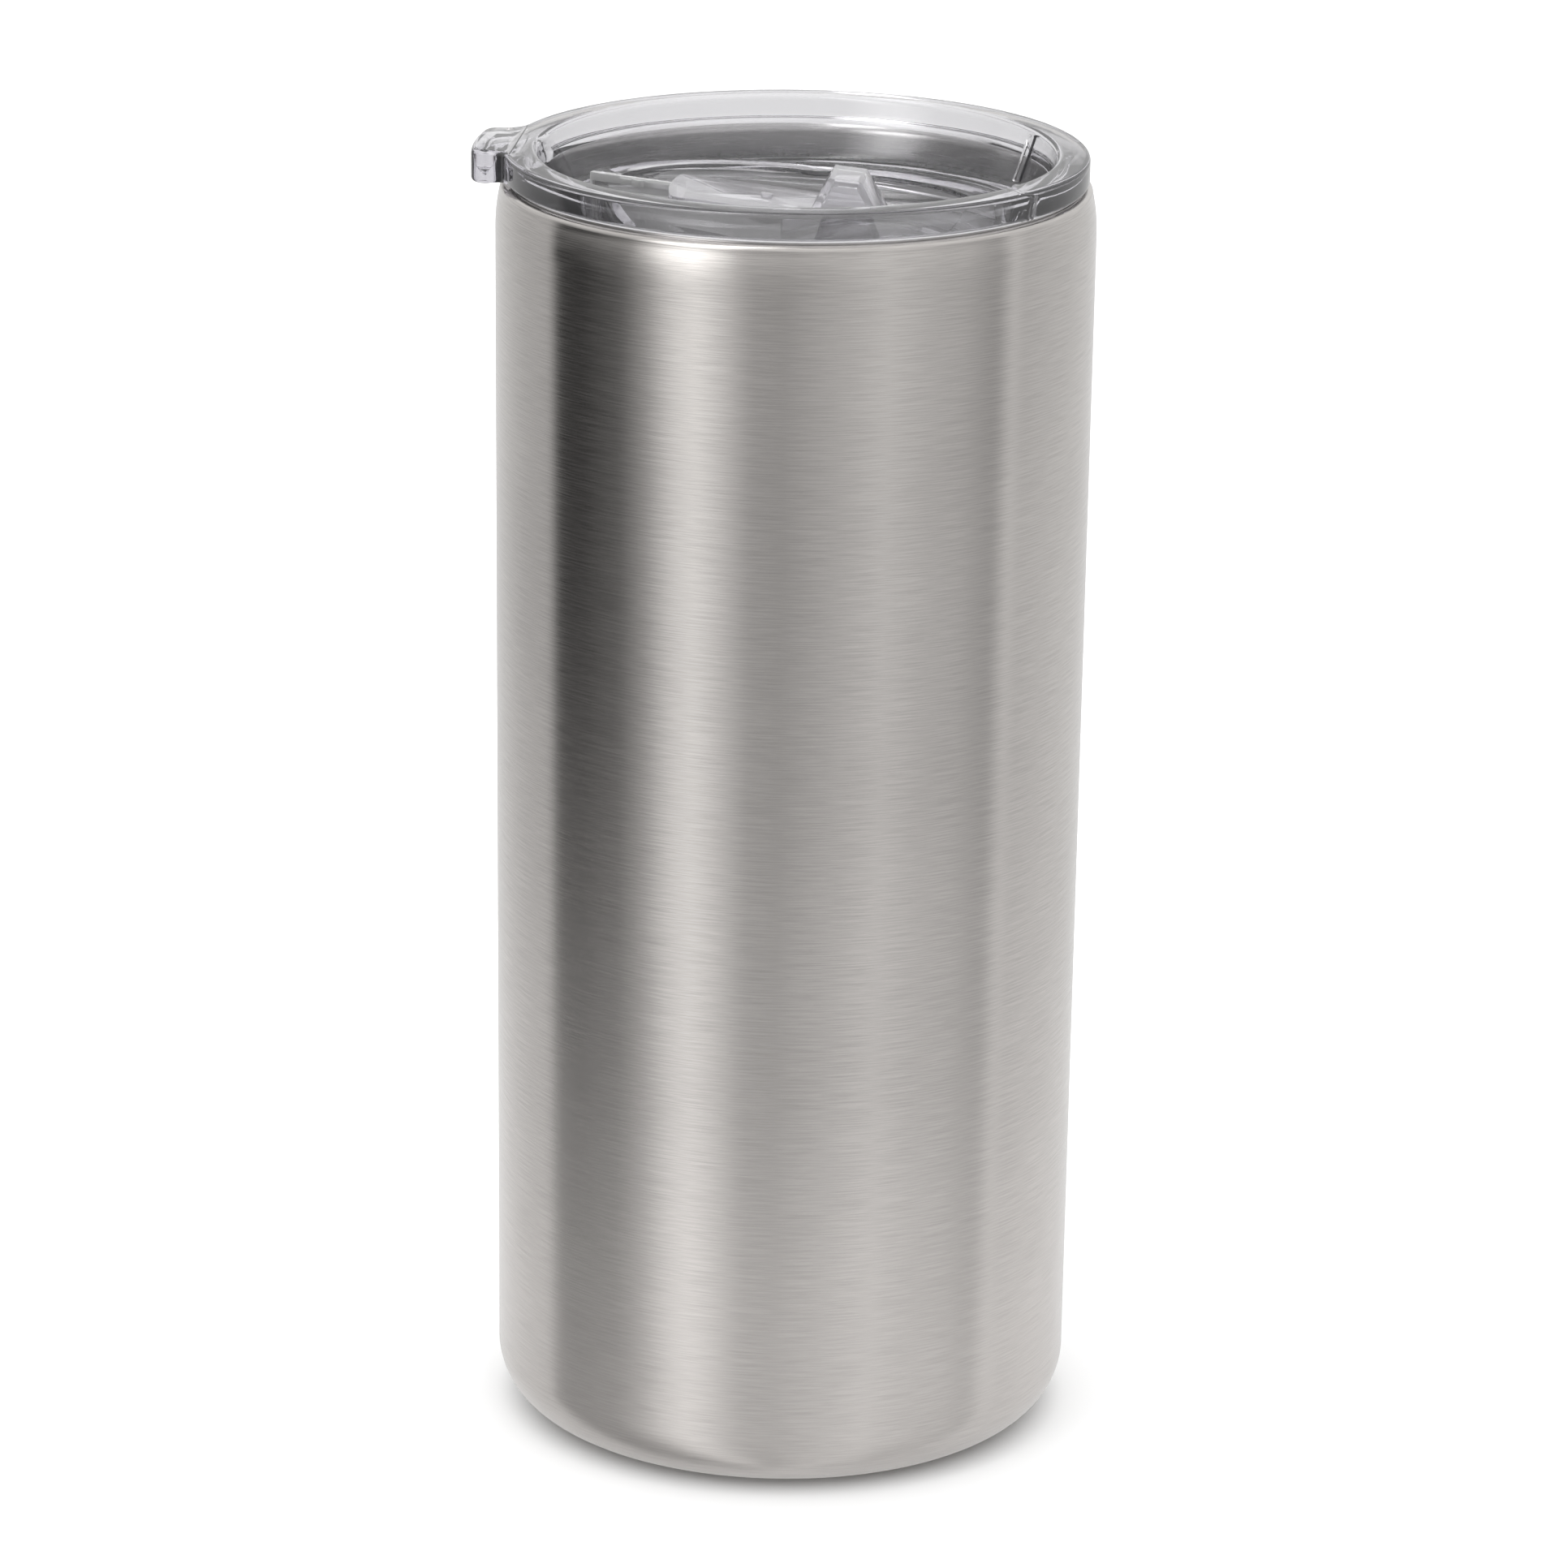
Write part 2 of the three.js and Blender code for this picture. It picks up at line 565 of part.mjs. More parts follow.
function slider() {
  const tongueTop = TONGUE_THICKNESS - SLIDER_DEPTH;
  const plate = solidOf(prism(sliderOutline(SLIDER_HALF_WIDTH, 0), -SLIDER_DEPTH, 0));
  const tongue = solidOf(prism(sliderOutline(TONGUE_HALF_WIDTH, 0), -SLIDER_DEPTH, tongueTop));
  const trayHalfWidth = SLIDER_HALF_WIDTH - SLIDER_WALL;
  const tray = solidOf(box(
    [SLIDER_LEFT + SLIDER_WALL + SLIDER_CORNER, -trayHalfWidth, -SLIDER_DEPTH - OVERSHOOT],
    [TRAY_RIGHT, trayHalfWidth, -SLIDER_WALL],
  ));
  const gateMark = cylinder(GATE_MARK_RADIUS, -SLIDER_WALL / 2, GATE_MARK_HEIGHT, 12);
  return plate.add(tongue).add(knobBody(0)).subtract(tray).subtract(knobBody(SLIDER_WALL))
    .add(gateMark.translate([GATE_MARK_X, 0, 0]));
}

// ---- Assembly ----

const brushedSteel = { color: 0xb9b7b4, roughness: 0.38, metalness: 1 };
const plainSteel = { color: 0xa3a3a3, roughness: 0.3, metalness: 1 };
const copperFoil = { color: 0xc08a68, roughness: 0.35, metalness: 1 };
const sealingGlass = { color: 0x5d6468, roughness: 0.25, metalness: 0 };
const getterAlloy = { color: 0x57575c, roughness: 0.8, metalness: 0.6 };
const clearPlastic = { color: 0xe6e6ec, roughness: 0.05, metalness: 0 };
const clearSilicone = { color: 0xdadde0, roughness: 0.45, metalness: 0 };

const group = new THREE.Group();

function addPiece(name, solid, look) {
  const mesh = new THREE.Mesh(geometryOf(solid), new THREE.MeshStandardMaterial(look));
  mesh.name = name;
  group.add(mesh);
  return mesh;
}

addPiece('outer_shell', outerShell(), brushedSteel);
addPiece('liner_tube', linerTube(), plainSteel);
addPiece('liner_bottom', linerBottom(), plainSteel);
addPiece('vacuum_closure', vacuumClosure(), plainSteel);
addPiece('vacuum_seal_bead', sealBead(), sealingGlass);
addPiece('base_cover', baseCover(), brushedSteel);
addPiece('radiation_foil', radiationFoil(), copperFoil);

const getterHeight = LINER_FLOOR_HEIGHT - GAP;
addPiece('getter_cup', getterCup(), plainSteel).position.set(GETTER_OFFSET, 0, getterHeight);
addPiece('getter_pellet', getterPellet(), getterAlloy).position.set(GETTER_OFFSET, 0, getterHeight);

addPiece('lid_body', lidBody(), clearPlastic);
addPiece('lid_gasket', lidGasket(), clearSilicone);

const sliderMesh = addPiece('slider', slider(), clearPlastic);
sliderMesh.position.z = SLIDER_TOP;
sliderMesh.rotation.y = SLOPE;

export default group;
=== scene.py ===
"""Looks of an insulated steel tumbler with a clear slide lid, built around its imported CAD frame.

Metres, +Z up, in the CAD frame: the axis is Z, the lid's thumb tab points to -X, and one drinks
over the rim at +X. Shapes are drawn in millimetres and scaled when they become objects.
"""
import math

import bmesh
import bpy
from mathutils import Matrix, Vector


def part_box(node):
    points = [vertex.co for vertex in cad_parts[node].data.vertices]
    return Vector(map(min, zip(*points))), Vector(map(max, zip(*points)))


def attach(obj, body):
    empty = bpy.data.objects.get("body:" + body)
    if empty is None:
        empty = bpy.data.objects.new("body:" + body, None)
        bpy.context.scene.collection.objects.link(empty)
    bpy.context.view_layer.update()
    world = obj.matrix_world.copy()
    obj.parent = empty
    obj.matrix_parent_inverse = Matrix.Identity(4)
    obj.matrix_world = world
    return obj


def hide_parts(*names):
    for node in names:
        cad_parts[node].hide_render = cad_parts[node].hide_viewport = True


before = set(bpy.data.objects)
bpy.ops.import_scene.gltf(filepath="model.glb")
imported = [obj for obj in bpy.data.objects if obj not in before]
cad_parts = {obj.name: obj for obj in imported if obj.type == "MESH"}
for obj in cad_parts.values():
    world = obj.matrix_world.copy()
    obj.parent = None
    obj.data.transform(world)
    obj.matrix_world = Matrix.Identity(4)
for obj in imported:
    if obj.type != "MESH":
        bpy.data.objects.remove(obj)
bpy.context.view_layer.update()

MM = 0.001
FINE = 160  # facets round a revolved piece


def in_mm(node):
    """Lowest and highest corner of a CAD node, in millimetres."""
    low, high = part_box(node)
    return low / MM, high / MM


# ---- Sizes, in millimetres ----

SHELL_HIGH = in_mm("outer_shell")[1]
LID_LOW, LID_HIGH = in_mm("lid_body")

SHELL_RADIUS = SHELL_HIGH.x
SHELL_TAPER = 0.7  # how much less the radius is at the base
SHELL_BASE_RADIUS = SHELL_RADIUS - SHELL_TAPER
SHELL_WALL = 0.6
BASE_FILLET = 8.4
BASE_OPENING = 28.5
BASE_COVER_GAP = 0.15
BASE_COVER_EDGE = 0.2
SHOULDER = 166.5
SHOULDER_BEND = 24
SHOULDER_DEGREES = 13
LIP_TOP = SHELL_HIGH.z
LIP_EDGE = 0.75
SEAM_RADIUS = 38.1
SEAM = 0.12  # width of the fine welded seam between the shell and the liner
LINER_RADIUS = 36.4
LINER_WALL = 0.5
LINER_LIP = 1.4
LINER_FLOOR = 12
LINER_FILLET = 6

TOP = LID_HIGH.z
FLANGE_RADIUS = 38.93
FLANGE_THICKNESS = 3.95
FLANGE_BOTTOM = TOP - FLANGE_THICKNESS
FLANGE_EDGE = 0.7
BASIN_RADIUS = 34.4
BASIN_EDGE = 1
BASIN_LEAN = math.radians(20)
BASIN_FLOOR = 168.3
BASIN_FILLET = 2.6
FLOOR_THICKNESS = 1.6
SKIRT_UPPER_RADIUS = 34.8
SKIRT_NECK_RADIUS = 34.4
SKIRT_BOTTOM = 164
SKIRT_CHAMFER = 0.8
SKIRT_INNER_RADIUS = 30.4
PLATFORM_RADIUS = 29.6
PLATFORM_CAVITY_RADIUS = 28
RECESS_RADIUS = 26
RECESS_DEPTH = 0.5
RAIL_OUTER = 8.3
GROOVE_RADIUS = 32.6
GROOVE_BOTTOM = 165.2
GROOVE_TOP = 167.4
GASKET_RADIUS = 36.2
GASKET_GAP = 0.1
FIN_THICKNESS = 0.6
FIN_TIP_RADIUS = 0.2
TAB_TIP = -LID_LOW.x
TAB_HALF_WIDTH = 7.7
TAB_CORNER = 2.2
TAB_FILLET = 3
TAB_ROOT_RADIUS = 36.5
TAB_BOTTOM = 172.4
TAB_RELIEF_RADIUS = 41.4
RIB_DEGREES = 27.5
RIB_WIDTH = 1
RIB_DEPTH = 0.9
RIB_TOP = 176.6
RIB_BOTTOM = 170.4

SLOPE = math.radians(5.8)
SLIDER_TOP = 169.94
PLATFORM_DROP = 1.63
SLIDER_LEFT = -17
SLIDER_RIGHT = 28
SLIDER_END_ARC = 29
SLIDER_HALF_WIDTH = 6.9
SLIDER_DEPTH = 3.6
SLIDER_WALL = 1.3
SLIDER_CORNER = 1.2
TONGUE_HALF_WIDTH = 8.1
TONGUE_THICKNESS = 0.7
TRAY_RIGHT = 13.6
CHANNEL_HALF_WIDTH = 7.5
CHANNEL_DEPTH = 3.8
CHANNEL_END_RADIUS = 29.3
CHANNEL_WALL = 1.2
UNDERCUT_HALF_WIDTH = 8.4
UNDERCUT_DROP = 2.7
SIP_HOLE = (22.9, 3.6, 6.0, 2.5)  # centre along X, half length, half width, corner radius
VENT = (-9, 0.8)  # centre along X, radius
DETENT = (-22, 1.0, 0.45, 1.8)  # centre along X, radius, how far it stands proud, drop
KNOB_HEIGHT = 4.6
KNOB_BASE = (2.3, 11.8)
KNOB_TOP = (4.3, 8.6)
KNOB_HALF_WIDTH = 5
KNOB_TOP_HALF_WIDTH = 4.3
GATE_MARK = (-4, 0.8, 0.5)  # centre along X, radius, height
PAST = 5  # how far a cutting body reaches past what it cuts
OVERLAP = 0.5  # how far a joined body reaches into its neighbour
LID_EDGE = 0.22  # width of the rounding on the lid's moulded edges
SLIDER_EDGE = 0.35


# ---- Surroundings ----

CAMERA_TURN = 5.5  # degrees round from straight ahead, so that the tab points a little away
CAMERA_DOWN = 17.5184  # degrees below the horizontal
CAMERA_ROLL = 0.8038  # degrees
CAMERA_DISTANCE = 0.9382  # metres from the target
CAMERA_TARGET = (-0.00056, 0, 0.088644)
LENS = 157.84  # focal length on a sensor 36 mm wide
SENSOR = 36

FLOOR_RADIUS = 4  # metres
FLOOR_TONE = 0.63  # as the camera sees it
FLOOR_BOUNCE = 0.95  # as everything else sees it
# Metres out from the axis, and how much of the floor the steel shows.
FLOOR_SHOWING = [(0.06, 0.3), (0.42, 0)]
# Sine of the elevation, and how bright the light that falls on the floor is.
DOME_LIGHT = [(0.2, 0), (0.7, 3.2)]
BACKDROP = 1.2  # what the camera sees behind the object
# Degrees round the studio from the camera's side, towards +X, and how bright it is there.
LOW_BANDS = [
    (-179, 0.8), (-150, 0.72), (-125, 0.55), (-108, 0.5), (-102, 0.01), (-88, 0.02), (-70, 0.1),
    (-58, 0.32), (-46, 0.78), (-38, 0.92), (-30, 0.74), (-16, 0.4), (-4, 0.37), (20, 0.56),
    (36, 0.7), (52, 0.58), (68, 0.52), (84, 0.36), (92, 0.72), (98, 0.6), (130, 0.7), (173, 0.8),
]
HIGH_BANDS = [(-179, 0.9), (-66, 0.9), (-50, 4.5), (-40, 4.5), (-22, 0.9), (173, 0.9)]
# Sine of the elevation, and how far the high bands take over.
HIGH_FROM = [(0, 0), (0.12, 0.35), (0.85, 1)]


# ---- Mesh helpers ----

def arc(cx, cy, radius, start, end, steps):
    """Points of an arc of an outline, from one angle to another in degrees."""
    angles = [math.radians(start + (end - start) * i / steps) for i in range(steps + 1)]
    return [(cx + radius * math.cos(a), cy + radius * math.sin(a)) for a in angles]


def new_object(name, mesh):
    piece = bpy.data.objects.new(name, mesh)
    bpy.context.scene.collection.objects.link(piece)
    return piece


def mesh_from(name, vertices, faces):
    mesh = bpy.data.meshes.new(name)
    mesh.from_pydata([tuple(v) for v in vertices], [], faces)
    mesh.validate()
    return new_object(name, mesh)


def revolve(name, profile, segments=FINE):
    """A profile of (radius, height) points, counter-clockwise, turned about Z to a closed mesh."""
    vertices, rings, faces = [], [], []
    for radius, height in profile:
        if radius < 1e-6:
            rings.append([len(vertices)] * segments)
            vertices.append((0, 0, height))
            continue
        rings.append(list(range(len(vertices), len(vertices) + segments)))
        for j in range(segments):
            angle = 2 * math.pi * j / segments
            vertices.append((radius * math.cos(angle), radius * math.sin(angle), height))
    on_axis = profile[0][0] < 1e-6
    for i in range(len(profile) - (1 if on_axis else 0)):
        low, high = rings[i], rings[(i + 1) % len(profile)]
        for j in range(segments):
            k = (j + 1) % segments
            face = [low[j], low[k], high[k], high[j]]
            faces.append(list(dict.fromkeys(face)))
    return mesh_from(name, vertices, faces)


def prism(name, outline, bottom, top):
    """An outline in the XY plane, counter-clockwise, raised from one height to another."""
    n = len(outline)
    vertices = [(x, y, bottom) for x, y in outline] + [(x, y, top) for x, y in outline]
    faces = [list(range(n))[::-1], list(range(n, 2 * n))]
    faces += [[i, (i + 1) % n, n + (i + 1) % n, n + i] for i in range(n)]
    return mesh_from(name, vertices, faces)


def block(name, low, high):
    outline = [(low[0], low[1]), (high[0], low[1]), (high[0], high[1]), (low[0], high[1])]
    return prism(name, outline, low[2], high[2])


def cylinder(name, radius, bottom, top, segments=FINE):
    return revolve(name, [(0, bottom), (radius, bottom), (radius, top), (0, top)], segments)


def layered(name, outline, layers):
    """An outline raised through (height, inset) layers, each inset along the outline's normals."""
    n = len(outline)
    points = [Vector(p) for p in outline]
    normals = []
    for i in range(n):
        before = points[i] - points[i - 1]
        after = points[(i + 1) % n] - points[i]
        direction = (before.normalized() + after.normalized()).normalized()
        normals.append(Vector((-direction.y, direction.x)))
    vertices = []
    for height, inset in layers:
        vertices += [(*(p + normal * inset), height) for p, normal in zip(points, normals)]
    faces = [list(range(n))[::-1], list(range(n * (len(layers) - 1), n * len(layers)))]
    for k in range(len(layers) - 1):
        a, b = k * n, (k + 1) * n
        faces += [[a + i, a + (i + 1) % n, b + (i + 1) % n, b + i] for i in range(n)]
    return mesh_from(name, vertices, faces)


def turned(piece, matrix):
    piece.data.transform(matrix)
    return piece


def sloped(piece):
    """From the slider's sloping frame to the frame of the whole part."""
    return turned(piece, Matrix.Translation((0, 0, SLIDER_TOP)) @ Matrix.Rotation(SLOPE, 4, "Y"))


def apply_modifiers(piece):
    graph = bpy.context.evaluated_depsgraph_get()
    mesh = bpy.data.meshes.new_from_object(piece.evaluated_get(graph))
    piece.modifiers.clear()
    piece.data = mesh
    return piece


def combine(piece, other, operation):
    """piece joined with, cut by or limited to other, which is used up."""
    modifier = piece.modifiers.new("combine", "BOOLEAN")
    modifier.operation = operation
    modifier.solver = "MANIFOLD"
    modifier.object = other
    apply_modifiers(piece)
    bpy.data.objects.remove(other)
    return piece


def join(piece, other):
    return combine(piece, other, "UNION")


def cut(piece, other):
    return combine(piece, other, "DIFFERENCE")


def limit(piece, other):
    return combine(piece, other, "INTERSECT")


def soften(piece, width, segments=2, angle=35):
    """Rounds the edges that are sharper than the given angle."""
    mesh = bmesh.new()
    mesh.from_mesh(piece.data)
    bmesh.ops.remove_doubles(mesh, verts=mesh.verts, dist=0.004)
    bmesh.ops.dissolve_limit(
        mesh, angle_limit=math.radians(0.5), verts=mesh.verts, edges=mesh.edges
    )
    mesh.to_mesh(piece.data)
    mesh.free()
    bevel = piece.modifiers.new("soften", "BEVEL")
    bevel.width = width
    bevel.segments = segments
    bevel.limit_method = "ANGLE"
    bevel.angle_limit = math.radians(angle)
    bevel.use_clamp_overlap = True
    return apply_modifiers(piece)


def shade(piece, sharp_degrees=30):
    """Smooth shading, with sharp edges kept where faces meet at more than the given angle."""
    mesh = bmesh.new()
    mesh.from_mesh(piece.data)
    bmesh.ops.recalc_face_normals(mesh, faces=mesh.faces)
    for face in mesh.faces:
        face.smooth = True
    for edge in mesh.edges:
        edge.smooth = edge.calc_face_angle(0) < math.radians(sharp_degrees)
    mesh.to_mesh(piece.data)
    mesh.free()


def place(piece, material, body, slot, *nodes):
    """Finishes a piece: to metres, shaded, painted, and riding on its body."""
    piece.data.transform(Matrix.Scale(MM, 4))
    shade(piece)
    piece.data.materials.clear()
    piece.data.materials.append(material)
    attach(piece, body)
    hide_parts(*nodes)
    return piece


# ---- Materials ----

def new_material(name):
    material = bpy.data.materials.new(name)
    material.use_nodes = True
    tree = material.node_tree
    return material, tree, tree.nodes["Principled BSDF"]


def node(tree, kind, **values):
    """A node with its properties set, and its inputs where a name starts with in_."""
    made = tree.nodes.new(kind)
    for key, value in values.items():
        if key.startswith("in_"):
            made.inputs[int(key[3:]) if key[3:].isdigit() else key[3:]].default_value = value
        else:
            setattr(made, key, value)
    return made


def ramp(tree, source, stops):
    made = tree.nodes.new("ShaderNodeValToRGB")
    elements = made.color_ramp.elements
    elements[0].position, elements[0].color = stops[0][0], stops[0][1]
    elements[1].position, elements[1].color = stops[-1][0], stops[-1][1]
    for position, colour in stops[1:-1]:
        elements.new(position).color = colour
    tree.links.new(source, made.inputs[0])
    return made.outputs[0]


def grey(value):
    return (value, value, value, 1)


def round_the_axis(tree):
    """Coordinates for a brushed cylinder: arc length round Z and height, in metres."""
    place_in = node(tree, "ShaderNodeTexCoord")
    split = node(tree, "ShaderNodeSeparateXYZ")
    angle = node(tree, "ShaderNodeMath", operation="ARCTAN2")
    length = node(tree, "ShaderNodeMath", operation="MULTIPLY", in_1=SHELL_RADIUS * MM)
    both = node(tree, "ShaderNodeCombineXYZ")
    links = tree.links
    links.new(place_in.outputs["Object"], split.inputs[0])
    links.new(split.outputs[1], angle.inputs[0])
    links.new(split.outputs[0], angle.inputs[1])
    links.new(angle.outputs[0], length.inputs[0])
    links.new(length.outputs[0], both.inputs[0])
    links.new(split.outputs[2], both.inputs[1])
    return both.outputs[0]


def streaks(tree, vector, along, across, detail):
    """Noise drawn out along the brushing. along and across are features per metre."""
    mapping = node(tree, "ShaderNodeMapping")
    mapping.inputs["Scale"].default_value = (along, across, 1)
    noise = node(tree, "ShaderNodeTexNoise", in_Scale=1, in_Detail=detail, in_Roughness=0.6)
    noise.noise_dimensions = "2D"
    tree.links.new(vector, mapping.inputs[0])
    tree.links.new(mapping.outputs[0], noise.inputs["Vector"])
    return noise.outputs["Fac"]


def brushed_steel(name, colour, roughness, anisotropy, bump_height):
    """Steel brushed round the axis: fine grain, scratches as fine and a little unevenness."""
    material, tree, shader = new_material(name)
    vector = round_the_axis(tree)
    grain = streaks(tree, vector, 150, 6500, 3)
    scratch = streaks(tree, vector, 110, 6000, 3)
    cloud = streaks(tree, vector, 14, 22, 3)
    links = tree.links

    tone = ramp(tree, grain, [(0.3, (*[c * 0.85 for c in colour], 1)), (0.65, (*colour, 1))])
    cloud_tone = ramp(tree, cloud, [(0.3, grey(0.93)), (0.7, grey(1.0))])
    mix = node(tree, "ShaderNodeMix", data_type="RGBA", blend_type="MULTIPLY", in_0=1.0)
    links.new(tone, mix.inputs[6])
    links.new(cloud_tone, mix.inputs[7])
    links.new(mix.outputs[2], shader.inputs["Base Color"])

    rough = ramp(tree, scratch, [(0.3, grey(roughness * 0.9)), (0.7, grey(roughness * 1.25))])
    links.new(rough, shader.inputs["Roughness"])

    height = node(tree, "ShaderNodeMath", operation="ADD")
    links.new(grain, height.inputs[0])
    links.new(scratch, height.inputs[1])
    bump = node(tree, "ShaderNodeBump", in_Strength=1.0, in_Distance=bump_height)
    links.new(height.outputs[0], bump.inputs["Height"])
    links.new(bump.outputs[0], shader.inputs["Normal"])

    tangent = node(tree, "ShaderNodeTangent", direction_type="RADIAL", axis="Z")
    links.new(tangent.outputs[0], shader.inputs["Tangent"])
    shader.inputs["Metallic"].default_value = 1
    shader.inputs["Anisotropic"].default_value = anisotropy
    shader.inputs["Anisotropic Rotation"].default_value = 0.25
    return material


def clear_plastic(name, colour, ior, roughness, depth_tint, density, clarity=1):
    """Clear moulded plastic: refracts, and takes a cool grey tint through its thickness."""
    material, tree, shader = new_material(name)
    shader.inputs["Base Color"].default_value = (*colour, 1)
    shader.inputs["IOR"].default_value = ior
    shader.inputs["Transmission Weight"].default_value = clarity
    links = tree.links
    spots = node(tree, "ShaderNodeTexNoise", in_Scale=900, in_Detail=2)
    place_in = node(tree, "ShaderNodeTexCoord")
    links.new(place_in.outputs["Object"], spots.inputs["Vector"])
    rough = ramp(tree, spots.outputs["Fac"], [(0.45, grey(roughness)), (0.75, grey(roughness * 3))])
    links.new(rough, shader.inputs["Roughness"])
    flow = node(tree, "ShaderNodeTexNoise", in_Scale=70, in_Detail=1)
    links.new(place_in.outputs["Object"], flow.inputs["Vector"])
    bump = node(tree, "ShaderNodeBump", in_Strength=0.12, in_Distance=0.00004)
    links.new(flow.outputs["Fac"], bump.inputs["Height"])
    links.new(bump.outputs[0], shader.inputs["Normal"])
    absorb = node(tree, "ShaderNodeVolumeAbsorption")
    absorb.inputs["Color"].default_value = (*depth_tint, 1)
    absorb.inputs["Density"].default_value = density
    links.new(absorb.outputs[0], tree.nodes["Material Output"].inputs["Volume"])
    return material


def speckled(name, dark, light, roughness, metallic, scale):
    """An even material with a fine mottle in its colour and its surface."""
    material, tree, shader = new_material(name)
    place_in = node(tree, "ShaderNodeTexCoord")
    noise = node(tree, "ShaderNodeTexNoise", in_Scale=scale, in_Detail=4)
    links = tree.links
    links.new(place_in.outputs["Object"], noise.inputs["Vector"])
    tone = ramp(tree, noise.outputs["Fac"], [(0.35, (*dark, 1)), (0.65, (*light, 1))])
    links.new(tone, shader.inputs["Base Color"])
    smoother, rougher = grey(roughness * 0.8), grey(roughness * 1.2)
    rough = ramp(tree, noise.outputs["Fac"], [(0.3, smoother), (0.7, rougher)])
    links.new(rough, shader.inputs["Roughness"])
    bump = node(tree, "ShaderNodeBump", in_Strength=0.4, in_Distance=0.0001)
    links.new(noise.outputs["Fac"], bump.inputs["Height"])
    links.new(bump.outputs[0], shader.inputs["Normal"])
    shader.inputs["Metallic"].default_value = metallic
    return material


def painted_light_in_channel(tree, shader, clarity):
    """Painted light: the walls and rails of the lid's channel, picked out by place in the lid's own
    coordinates, let less through and show the white base colour instead, which lightens them where
    they would otherwise look dark.
    """
    place_in = node(tree, "ShaderNodeTexCoord")
    flat = node(tree, "ShaderNodeVectorMath", operation="MULTIPLY", in_1=(1, 1, 0))
    out = node(tree, "ShaderNodeVectorMath", operation="LENGTH")
    split = node(tree, "ShaderNodeSeparateXYZ")
    aside = node(tree, "ShaderNodeMath", operation="ABSOLUTE")
    links = tree.links
    links.new(place_in.outputs["Object"], flat.inputs[0])
    links.new(flat.outputs[0], out.inputs[0])
    links.new(flat.outputs[0], split.inputs[0])
    links.new(split.outputs[1], aside.inputs[0])
    near, far = (CHANNEL_HALF_WIDTH - 0.6) * MM, (UNDERCUT_HALF_WIDTH + 0.3) * MM
    end = (CHANNEL_END_RADIUS + 0.3) * MM
    factor = node(tree, "ShaderNodeMath", operation="MULTIPLY_ADD", in_1=-CHANNEL_PAINTED_LIGHT, in_2=clarity)
    beyond = node(tree, "ShaderNodeMath", operation="GREATER_THAN", in_1=near)
    short = node(tree, "ShaderNodeMath", operation="LESS_THAN", in_1=far)
    inside = node(tree, "ShaderNodeMath", operation="LESS_THAN", in_1=end)
    links.new(aside.outputs[0], beyond.inputs[0])
    links.new(aside.outputs[0], short.inputs[0])
    links.new(out.outputs["Value"], inside.inputs[0])
    both = node(tree, "ShaderNodeMath", operation="MULTIPLY")
    every = node(tree, "ShaderNodeMath", operation="MULTIPLY")
    links.new(beyond.outputs[0], both.inputs[0])
    links.new(short.outputs[0], both.inputs[1])
    links.new(both.outputs[0], every.inputs[0])
    links.new(inside.outputs[0], every.inputs[1])
    links.new(every.outputs[0], factor.inputs[0])
    links.new(factor.outputs[0], shader.inputs["Transmission Weight"])


CLEARNESS = 0.97  # of the lid away from the channel
CHANNEL_PAINTED_LIGHT = 0.35  # how much less of it the channel's walls let through; the white this leaves is painted light that lightens them
DEPTH_TINT = (0.74, 0.72, 0.79)

STEEL = brushed_steel("satin_brushed_steel", (0.705, 0.675, 0.65), 0.19, 0.95, 0.000003)
INNER_STEEL = brushed_steel("drawn_steel", (0.66, 0.65, 0.65), 0.22, 0.95, 0.000002)
CLEAR = clear_plastic("clear_copolyester", (1.0, 1.0, 1.0), 1.53, 0.01, DEPTH_TINT, 60, CLEARNESS)
# painted light: the channel's walls let less through, so that their white base colour lightens them
painted_light_in_channel(CLEAR.node_tree, CLEAR.node_tree.nodes["Principled BSDF"], CLEARNESS)
SATIN_CLEAR = clear_plastic(
    "satin_copolyester", (0.98, 0.97, 1.0), 1.49, 0.03, DEPTH_TINT, 25, 0.78
)
SILICONE = clear_plastic("clear_silicone", (0.97, 0.97, 0.98), 1.41, 0.25, (0.8, 0.8, 0.8), 60)
FOIL = speckled("copper_foil", (0.62, 0.33, 0.2), (0.8, 0.47, 0.32), 0.3, 1, 300)
FRIT = speckled("sealing_glass", (0.16, 0.19, 0.2), (0.27, 0.3, 0.32), 0.2, 0, 900)
GETTER = speckled("getter_alloy", (0.12, 0.12, 0.13), (0.2, 0.2, 0.21), 0.75, 0.6, 1500)


# ---- Steel tumbler ----

def outer_shell():
    centre = SHELL_RADIUS - SHOULDER_BEND
    outer_bend = arc(centre, SHOULDER, SHOULDER_BEND, 0, SHOULDER_DEGREES, 8)
    inner_bend = arc(centre, SHOULDER, SHOULDER_BEND - SHELL_WALL, SHOULDER_DEGREES, 0, 8)
    edge = outer_bend[-1][0] - LIP_EDGE
    fillet = SHELL_BASE_RADIUS - BASE_FILLET
    seam = SEAM_RADIUS + SEAM / 2
    return revolve("shell", [
        (BASE_OPENING, 0),
        *arc(fillet, BASE_FILLET, BASE_FILLET, -90, 0, 16),
        *outer_bend,
        *arc(edge, LIP_TOP - LIP_EDGE, LIP_EDGE, 0, 90, 8),
        (seam, LIP_TOP),
        (seam, LIP_TOP - SHELL_WALL),
        *inner_bend,
        *arc(fillet, BASE_FILLET, BASE_FILLET - SHELL_WALL, 0, -90, 16),
        (BASE_OPENING, SHELL_WALL),
    ])


